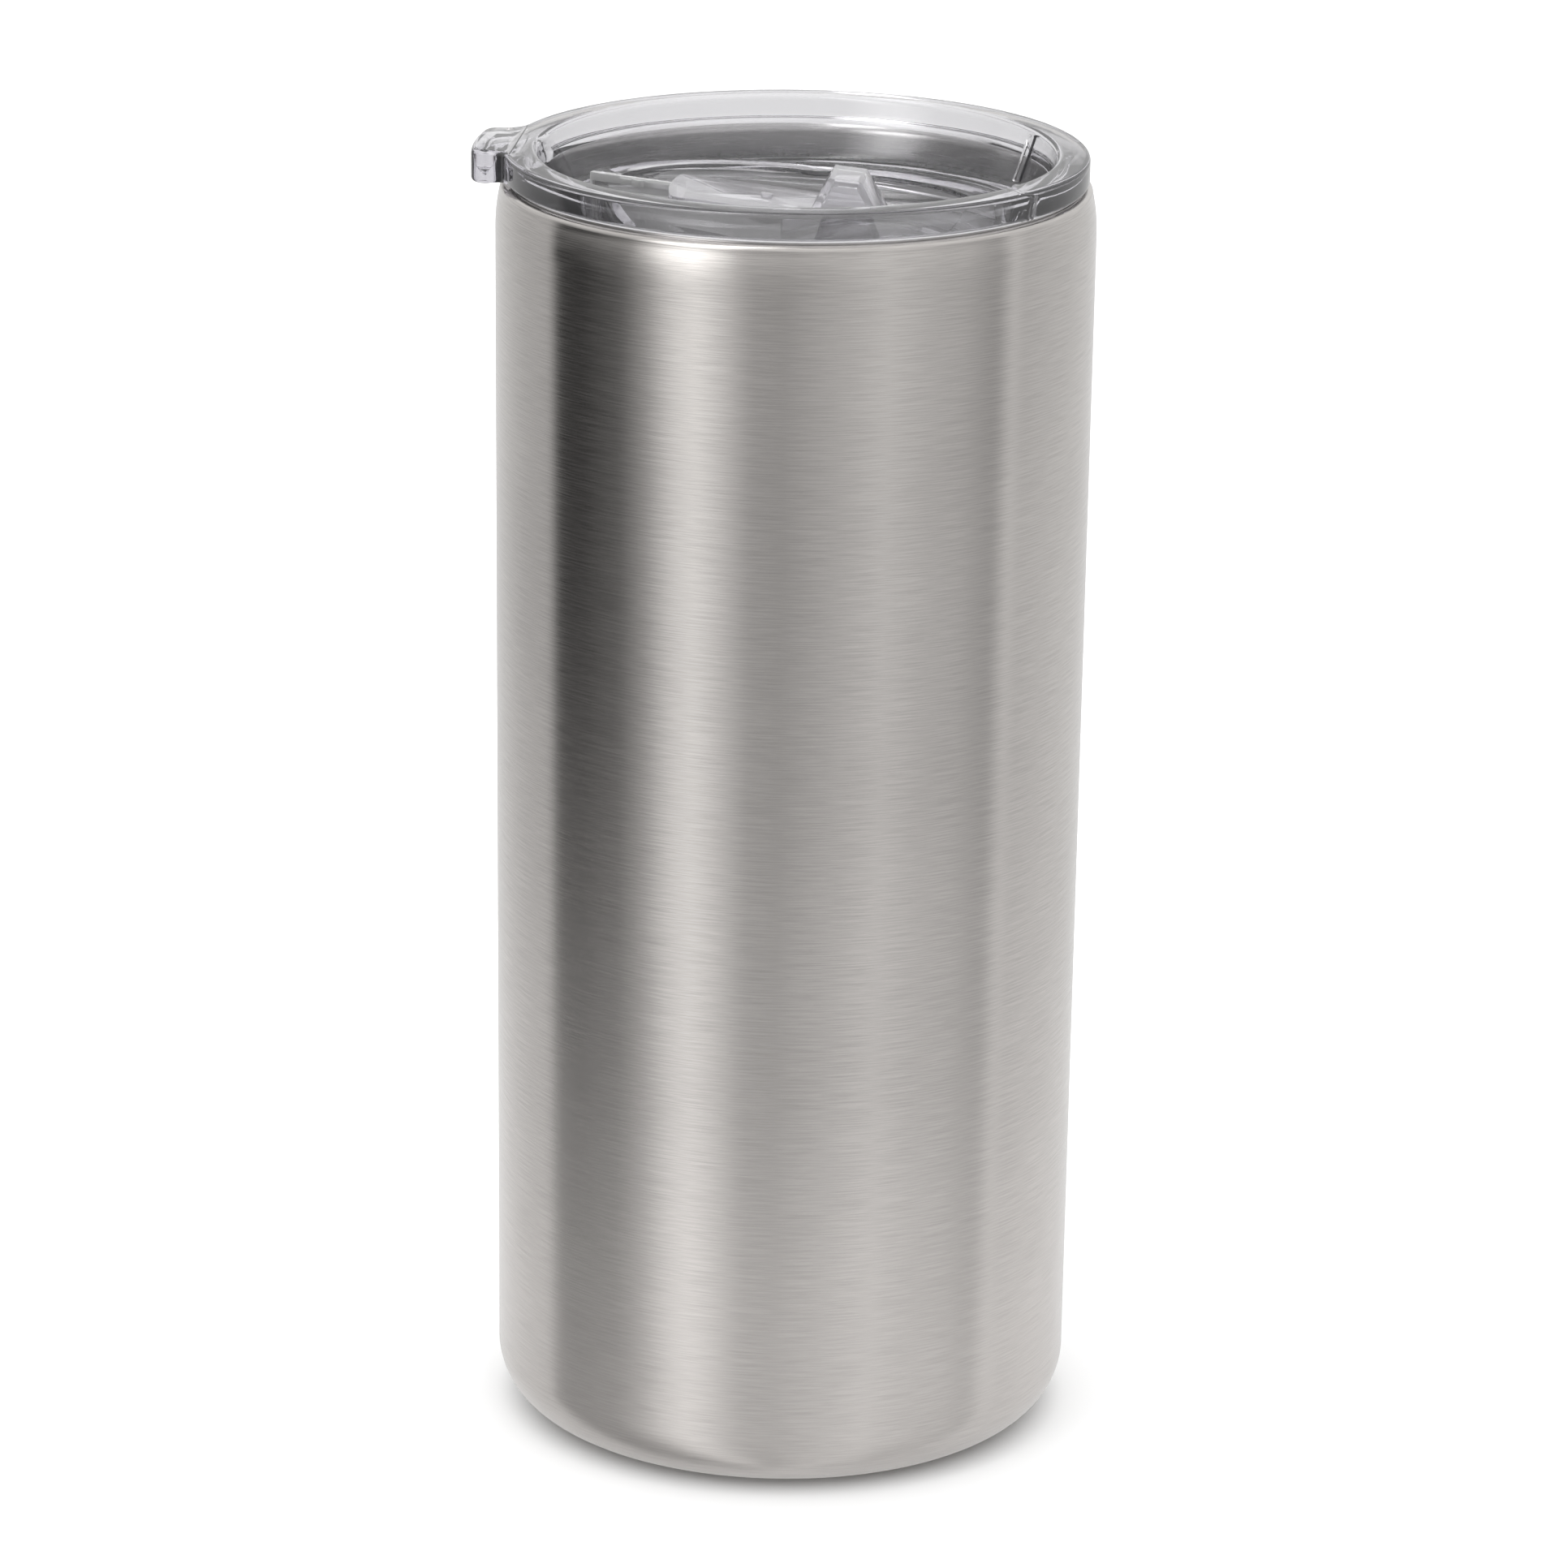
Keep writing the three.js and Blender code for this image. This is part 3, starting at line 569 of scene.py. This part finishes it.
def liner():
    """Tube and bottom of the drinking vessel, drawn as the one smooth surface after welding."""
    seam = SEAM_RADIUS - SEAM / 2
    lip = LIP_TOP - LINER_LIP
    fillet_radius = LINER_RADIUS - LINER_FILLET
    fillet_height = LINER_FLOOR + LINER_WALL + LINER_FILLET
    return revolve("liner", [
        (0, LINER_FLOOR),
        *arc(fillet_radius, fillet_height, LINER_FILLET + LINER_WALL, -90, 0, 12),
        *arc(seam, lip, seam - LINER_RADIUS - LINER_WALL, 180, 90, 8),
        *arc(seam, lip, seam - LINER_RADIUS, 90, 180, 12),
        *arc(fillet_radius, fillet_height, LINER_FILLET, 0, -90, 12),
        (0, LINER_FLOOR + LINER_WALL),
    ])


def base_cover():
    radius, edge = BASE_OPENING - BASE_COVER_GAP, BASE_COVER_EDGE
    return revolve("base_disc", [
        (0, 0), (radius - 1.25 * edge, 0), *arc(radius - edge, edge, edge, -90, 0, 4),
        (radius, SHELL_WALL), (0, SHELL_WALL),
    ])


# ---- Lid ----

WALL_TOP = TOP - BASIN_EDGE


def wall_radius(height):
    return BASIN_RADIUS - (WALL_TOP - height) * math.tan(BASIN_LEAN)


def lid_blank():
    return revolve("clear_lid", [
        (0, SKIRT_BOTTOM),
        (SKIRT_NECK_RADIUS - SKIRT_CHAMFER, SKIRT_BOTTOM),
        (SKIRT_NECK_RADIUS, SKIRT_BOTTOM + SKIRT_CHAMFER),
        (SKIRT_NECK_RADIUS, GROOVE_BOTTOM),
        (GROOVE_RADIUS, GROOVE_BOTTOM),
        (GROOVE_RADIUS, GROOVE_TOP),
        (SKIRT_NECK_RADIUS, GROOVE_TOP),
        (SKIRT_UPPER_RADIUS, FLANGE_BOTTOM),
        *arc(FLANGE_RADIUS - FLANGE_EDGE, FLANGE_BOTTOM + FLANGE_EDGE, FLANGE_EDGE, -90, 0, 6),
        *arc(FLANGE_RADIUS - FLANGE_EDGE, TOP - FLANGE_EDGE, FLANGE_EDGE, 0, 90, 6),
        (0, TOP),
    ])


def basin_space():
    corner = wall_radius(BASIN_FLOOR)
    tangent = BASIN_FILLET * math.tan((math.pi / 2 - BASIN_LEAN) / 2)
    return revolve("basin", [
        (0, BASIN_FLOOR),
        *arc(corner - tangent, BASIN_FLOOR + BASIN_FILLET, BASIN_FILLET, -90, -20, 8),
        *arc(BASIN_RADIUS + BASIN_EDGE, WALL_TOP, BASIN_EDGE, 180, 90, 8),
        (BASIN_RADIUS + BASIN_EDGE, TOP + PAST),
        (0, TOP + PAST),
    ])


def under_slope(drop):
    far = 2 * SHELL_RADIUS
    return sloped(block("under_slope", (-far, -far, -far), (far, far, -drop)))


def floor_recess():
    disc = cylinder("recess", RECESS_RADIUS, BASIN_FLOOR - RECESS_DEPTH, TOP)
    cut(disc, under_slope(PLATFORM_DROP + RECESS_DEPTH))
    far = SHELL_RADIUS
    return cut(disc, block("rails", (-far, -RAIL_OUTER, 0), (far, RAIL_OUTER, TOP + PAST)))


def underside_space():
    bottom = SKIRT_BOTTOM - PAST
    flat = cylinder("underside", SKIRT_INNER_RADIUS, bottom, BASIN_FLOOR - FLOOR_THICKNESS)
    raised = cylinder("underside_raised", PLATFORM_CAVITY_RADIUS, bottom, TOP)
    return join(flat, limit(raised, under_slope(PLATFORM_DROP + FLOOR_THICKNESS)))


def channel_block():
    half = UNDERCUT_HALF_WIDTH + CHANNEL_WALL
    far, bottom = SHELL_RADIUS, SKIRT_BOTTOM - PAST
    body = sloped(block("channel", (-far, -half, -CHANNEL_DEPTH - CHANNEL_WALL), (far, half, PAST)))
    platform = cylinder("platform_side", PLATFORM_CAVITY_RADIUS + OVERLAP, bottom, TOP)
    limit(platform, under_slope(PLATFORM_DROP + RECESS_DEPTH))
    floor_side = cylinder(
        "floor_side", SKIRT_INNER_RADIUS + OVERLAP, bottom, BASIN_FLOOR - RECESS_DEPTH
    )
    return limit(body, join(platform, floor_side))


def channel_space():
    far = SHELL_RADIUS
    half, under = CHANNEL_HALF_WIDTH, UNDERCUT_HALF_WIDTH
    slot = sloped(block("slot", (-far, -half, -CHANNEL_DEPTH), (far, half, PAST)))
    low, high = (-far, -under, -CHANNEL_DEPTH), (far, under, -UNDERCUT_DROP)
    undercut = sloped(block("undercut", low, high))
    limit(join(slot, undercut), cylinder("ends", CHANNEL_END_RADIUS, SKIRT_BOTTOM - PAST, TOP))
    low = (-PLATFORM_RADIUS - OVERLAP, -half, -CHANNEL_DEPTH)
    return join(slot, sloped(block("gate", low, (PAST - CHANNEL_END_RADIUS, half, PAST))))


def rounded_rectangle(x, half_x, half_y, corner):
    return [
        *arc(x + half_x - corner, half_y - corner, corner, 0, 90, 8),
        *arc(x + corner - half_x, half_y - corner, corner, 90, 180, 8),
        *arc(x + corner - half_x, corner - half_y, corner, 180, 270, 8),
        *arc(x + half_x - corner, corner - half_y, corner, 270, 360, 8),
    ]


def through_channel_floor(outline):
    return sloped(prism("hole", outline, -CHANNEL_DEPTH - PAST, -CHANNEL_DEPTH + 0.3))


def detent(side):
    x, radius, proud, drop = DETENT
    outline = arc(x, side * (CHANNEL_HALF_WIDTH + radius - proud), radius, 0, 345, 23)
    return sloped(prism("detent", outline, -UNDERCUT_DROP, -drop))


def thumb_tab():
    """Tongue of the flange with a rounded tip, a little deeper where it is clear of the shell."""
    y = TAB_HALF_WIDTH + TAB_FILLET
    x = -math.sqrt((FLANGE_RADIUS + TAB_FILLET) ** 2 - y ** 2)
    meeting = math.degrees(math.atan2(-y, -x))
    corner_y = TAB_HALF_WIDTH - TAB_CORNER
    corner_x = -math.sqrt((TAB_TIP - TAB_CORNER) ** 2 - corner_y ** 2)
    tip = math.degrees(math.atan2(corner_y, corner_x))
    upper = arc(x, y, TAB_FILLET, meeting, -90, 12)
    upper += arc(corner_x, corner_y, TAB_CORNER, 90, tip, 10)
    upper += arc(0, 0, TAB_TIP, tip, 180, 4)[1:-1]
    lower = [(px, -py) for px, py in reversed(upper)]
    root_degrees = 180 + meeting
    root = arc(0, 0, TAB_ROOT_RADIUS, -root_degrees, root_degrees - 360, 8)
    layers = []
    for i in range(7):
        a = math.radians(-90 + 15 * i)
        height = TAB_BOTTOM + FLANGE_EDGE * (1 + math.sin(a))
        layers.append((height, FLANGE_EDGE * (1 - math.cos(a))))
    layers += [(TOP + TAB_BOTTOM - height, inset) for height, inset in reversed(layers)]
    tab = layered("tab", upper + [(-TAB_TIP, 0)] + lower + root, layers)
    return cut(tab, revolve("tab_relief", [
        (0, TAB_BOTTOM - PAST), (TAB_RELIEF_RADIUS, TAB_BOTTOM - PAST),
        (TAB_RELIEF_RADIUS, TAB_BOTTOM), (FLANGE_RADIUS, FLANGE_BOTTOM), (0, FLANGE_BOTTOM),
    ]))


def wall_rib(degrees):
    low, high = wall_radius(RIB_BOTTOM), wall_radius(RIB_TOP)
    outline = [
        (low - RIB_DEPTH, RIB_BOTTOM), (low + RIB_DEPTH, RIB_BOTTOM),
        (high + RIB_DEPTH, RIB_TOP), (high - RIB_DEPTH, RIB_TOP),
    ]
    rib = prism("rib", outline, -RIB_WIDTH / 2, RIB_WIDTH / 2)
    upright = Matrix.Rotation(math.radians(degrees), 4, "Z") @ Matrix.Rotation(math.pi / 2, 4, "X")
    return turned(rib, upright)


def clear_lid():
    lid = lid_blank()
    platform = cylinder("platform", PLATFORM_RADIUS, BASIN_FLOOR - PAST, TOP)
    limit(platform, under_slope(PLATFORM_DROP))
    cut(lid, cut(basin_space(), platform))
    cut(lid, underside_space())
    cut(lid, floor_recess())
    join(lid, channel_block())
    cut(lid, channel_space())
    cut(lid, through_channel_floor(rounded_rectangle(*SIP_HOLE)))
    cut(lid, through_channel_floor(arc(VENT[0], 0, VENT[1], 0, 345, 23)))
    for side in (1, -1):
        join(lid, detent(side))
        join(lid, wall_rib(side * RIB_DEGREES))
    join(lid, thumb_tab())
    return soften(lid, LID_EDGE)


def gasket():
    """A ring with two thin fins, drawn at the size it has in the mouth."""
    inner, core = GROOVE_RADIUS + GASKET_GAP, SKIRT_NECK_RADIUS + 2 * GASKET_GAP
    bottom, top = GROOVE_BOTTOM + GASKET_GAP, GROOVE_TOP - GASKET_GAP
    fin, edge = FIN_THICKNESS, FIN_TIP_RADIUS
    return revolve("silicone_ring", [
        (inner, bottom), (core, bottom),
        *arc(GASKET_RADIUS - edge, bottom + fin / 2 + 0.15, edge, -60, 90, 5),
        (core + 0.1, bottom + fin), (core + 0.1, top - fin),
        *arc(GASKET_RADIUS - edge, top - fin / 2 + 0.1, edge, -60, 90, 5),
        (inner, top),
    ])


# ---- Slider ----

def slider_outline(half_width):
    radius = SLIDER_END_ARC
    sweep = math.degrees(math.asin((half_width - SLIDER_CORNER) / radius))
    right = arc(SLIDER_RIGHT - radius, 0, radius, -sweep, sweep, 16)
    left = arc(SLIDER_LEFT + radius, 0, radius, 180 - sweep, 180 + sweep, 16)
    y = half_width - SLIDER_CORNER
    right_x, left_x = right[0][0] - SLIDER_CORNER, left[0][0] + SLIDER_CORNER
    return [
        *right, *arc(right_x, y, SLIDER_CORNER, 15, 90, 6),
        *arc(left_x, y, SLIDER_CORNER, 90, 165, 6),
        *left, *arc(left_x, -y, SLIDER_CORNER, 195, 270, 6),
        *arc(right_x, -y, SLIDER_CORNER, 270, 345, 6),
    ]


def knob(inset):
    """The ridge across the slider, or the hollow inside it where inset is the wall."""
    top = KNOB_HEIGHT - inset
    bottom = -SLIDER_DEPTH / 2
    left, right = KNOB_BASE[0] + inset, KNOB_BASE[1] - inset
    along = [
        (left, bottom), (right, bottom), (right, 0),
        (KNOB_TOP[1] - inset / 2, top), (KNOB_TOP[0] + inset / 2, top), (left, 0),
    ]
    half, half_top = KNOB_HALF_WIDTH - inset, KNOB_TOP_HALF_WIDTH - inset
    across = [
        (-half, -SLIDER_DEPTH), (half, -SLIDER_DEPTH), (half, 0),
        (half_top, top), (-half_top, top), (-half, 0),
    ]
    upright = Matrix.Rotation(math.pi / 2, 4, "X")
    ridge = turned(prism("knob", along, -KNOB_HALF_WIDTH, KNOB_HALF_WIDTH), upright)
    taper = prism("taper", across, *KNOB_BASE)
    return limit(ridge, turned(taper, Matrix.Rotation(math.pi / 2, 4, "Z") @ upright))


def clear_slider():
    piece = prism("clear_slider", slider_outline(SLIDER_HALF_WIDTH), -SLIDER_DEPTH, 0)
    tongue_top = TONGUE_THICKNESS - SLIDER_DEPTH
    join(piece, prism("tongue", slider_outline(TONGUE_HALF_WIDTH), -SLIDER_DEPTH, tongue_top))
    join(piece, knob(0))
    half = SLIDER_HALF_WIDTH - SLIDER_WALL
    low = (SLIDER_LEFT + SLIDER_WALL + SLIDER_CORNER, -half, -SLIDER_DEPTH - PAST)
    cut(piece, block("tray", low, (TRAY_RIGHT, half, -SLIDER_WALL)))
    cut(piece, knob(SLIDER_WALL))
    x, radius, height = GATE_MARK
    mark = cylinder("gate_mark", radius, -SLIDER_WALL / 2, height, 24)
    join(piece, turned(mark, Matrix.Translation((x, 0, 0))))
    return sloped(soften(piece, SLIDER_EDGE, 3))


# ---- Assembly ----

place(outer_shell(), STEEL, "tumbler", "brushed_steel", "outer_shell")
place(liner(), INNER_STEEL, "tumbler", "plain_steel", "liner_tube", "liner_bottom")
place(base_cover(), STEEL, "tumbler", "brushed_steel", "base_cover")
place(clear_lid(), CLEAR, "lid", "clear_plastic", "lid_body")
place(gasket(), SILICONE, "lid", "clear_silicone", "lid_gasket")
place(clear_slider(), SATIN_CLEAR, "slider", "clear_plastic", "slider")

for name, material in {
    "vacuum_closure": INNER_STEEL,
    "vacuum_seal_bead": FRIT,
    "radiation_foil": FOIL,
    "getter_cup": INNER_STEEL,
    "getter_pellet": GETTER,
}.items():
    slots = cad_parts[name].data.materials
    slots.clear()
    slots.append(material)


# ---- Floor, light and camera ----

def bands(tree, direction, values):
    """How bright the studio is round the horizon in a direction, from (degrees, value) pairs."""
    split = node(tree, "ShaderNodeSeparateXYZ")
    back = node(tree, "ShaderNodeMath", operation="MULTIPLY", in_1=-1.0)
    angle = node(tree, "ShaderNodeMath", operation="ARCTAN2")
    turn = node(tree, "ShaderNodeMath", operation="MULTIPLY_ADD", in_1=1 / math.tau, in_2=0.5)
    links = tree.links
    links.new(direction, split.inputs[0])
    links.new(split.outputs[1], back.inputs[0])
    links.new(split.outputs[0], angle.inputs[0])
    links.new(back.outputs[0], angle.inputs[1])
    links.new(angle.outputs[0], turn.inputs[0])
    stops = [((degrees + CAMERA_TURN + 180) / 360, grey(value)) for degrees, value in values]
    return ramp(tree, turn.outputs[0], stops)


def floor():
    """A pale floor, whole to the camera and faint in what stands on it."""
    material, tree, shader = new_material("pale_floor")
    shader.inputs["Roughness"].default_value = 0.6
    shader.inputs["Specular IOR Level"].default_value = 0.2
    place_in = node(tree, "ShaderNodeTexCoord")
    away = node(tree, "ShaderNodeVectorMath", operation="LENGTH")
    path = node(tree, "ShaderNodeLightPath")
    seen = path.outputs["Is Camera Ray"]
    links = tree.links
    links.new(place_in.outputs["Object"], away.inputs[0])
    stops = [(far, grey(share)) for far, share in FLOOR_SHOWING]
    showing = ramp(tree, away.outputs["Value"], stops)
    tone = ramp(tree, seen, [(0, grey(FLOOR_BOUNCE)), (1, grey(FLOOR_TONE))])
    either = node(tree, "ShaderNodeMath", operation="MAXIMUM")
    links.new(seen, either.inputs[0])
    links.new(showing, either.inputs[1])
    links.new(tone, shader.inputs["Base Color"])
    links.new(either.outputs[0], shader.inputs["Alpha"])
    rim = [(x, y, 0) for x, y in arc(0, 0, FLOOR_RADIUS, 0, 356.25, 95)]
    disc = mesh_from("floor", rim, [list(range(len(rim)))])
    disc.data.materials.append(material)


def studio_world():
    """Surroundings with darker and lighter stretches round the horizon, which the steel reflects.

    The camera sees an even white, and the floor gets a light of its own from overhead.
    """
    world = bpy.data.worlds.new("studio")
    bpy.context.scene.world = world
    world.use_nodes = True
    tree = world.node_tree
    place_in = node(tree, "ShaderNodeTexCoord")
    direction = place_in.outputs["Generated"]
    split = node(tree, "ShaderNodeSeparateXYZ")
    path = node(tree, "ShaderNodeLightPath")
    links = tree.links
    links.new(direction, split.inputs[0])
    high = ramp(tree, split.outputs[2], [(sine, grey(share)) for sine, share in HIGH_FROM])
    dome = ramp(tree, split.outputs[2], [(sine, grey(share)) for sine, share in DOME_LIGHT])
    colour = bands(tree, direction, LOW_BANDS)
    for factor, other in (
        (high, bands(tree, direction, HIGH_BANDS)),
        (path.outputs["Is Diffuse Ray"], dome),
        (path.outputs["Is Camera Ray"], grey(BACKDROP)),
    ):
        mix = node(tree, "ShaderNodeMix", data_type="RGBA")
        links.new(factor, mix.inputs[0])
        links.new(colour, mix.inputs[6])
        if isinstance(other, tuple):
            mix.inputs[7].default_value = other
        else:
            links.new(other, mix.inputs[7])
        colour = mix.outputs[2]
    links.new(colour, tree.nodes["Background"].inputs[0])


def camera():
    """The viewing angle: looking down a little, with a small turn of the picture."""
    down, roll = math.radians(CAMERA_DOWN), math.radians(CAMERA_ROLL)
    round_z = Matrix.Rotation(math.radians(CAMERA_TURN), 4, "Z")
    forward = Vector((0, math.cos(down), -math.sin(down)))
    right, up = Vector((1, 0, 0)), Vector((0, math.sin(down), math.cos(down)))
    tilted_right = right * math.cos(roll) + up * math.sin(roll)
    tilted_up = up * math.cos(roll) - right * math.sin(roll)
    axes = Matrix((tilted_right, tilted_up, -forward)).transposed().to_4x4()
    eye = bpy.data.objects.new("camera", bpy.data.cameras.new("camera"))
    bpy.context.scene.collection.objects.link(eye)
    place_of_eye = Vector(CAMERA_TARGET) - forward * CAMERA_DISTANCE
    eye.matrix_world = round_z @ Matrix.Translation(place_of_eye) @ axes
    eye.data.sensor_width = SENSOR
    eye.data.lens = LENS
    bpy.context.scene.camera = eye


floor()
studio_world()
camera()
bpy.context.scene.view_settings.view_transform = "Standard"
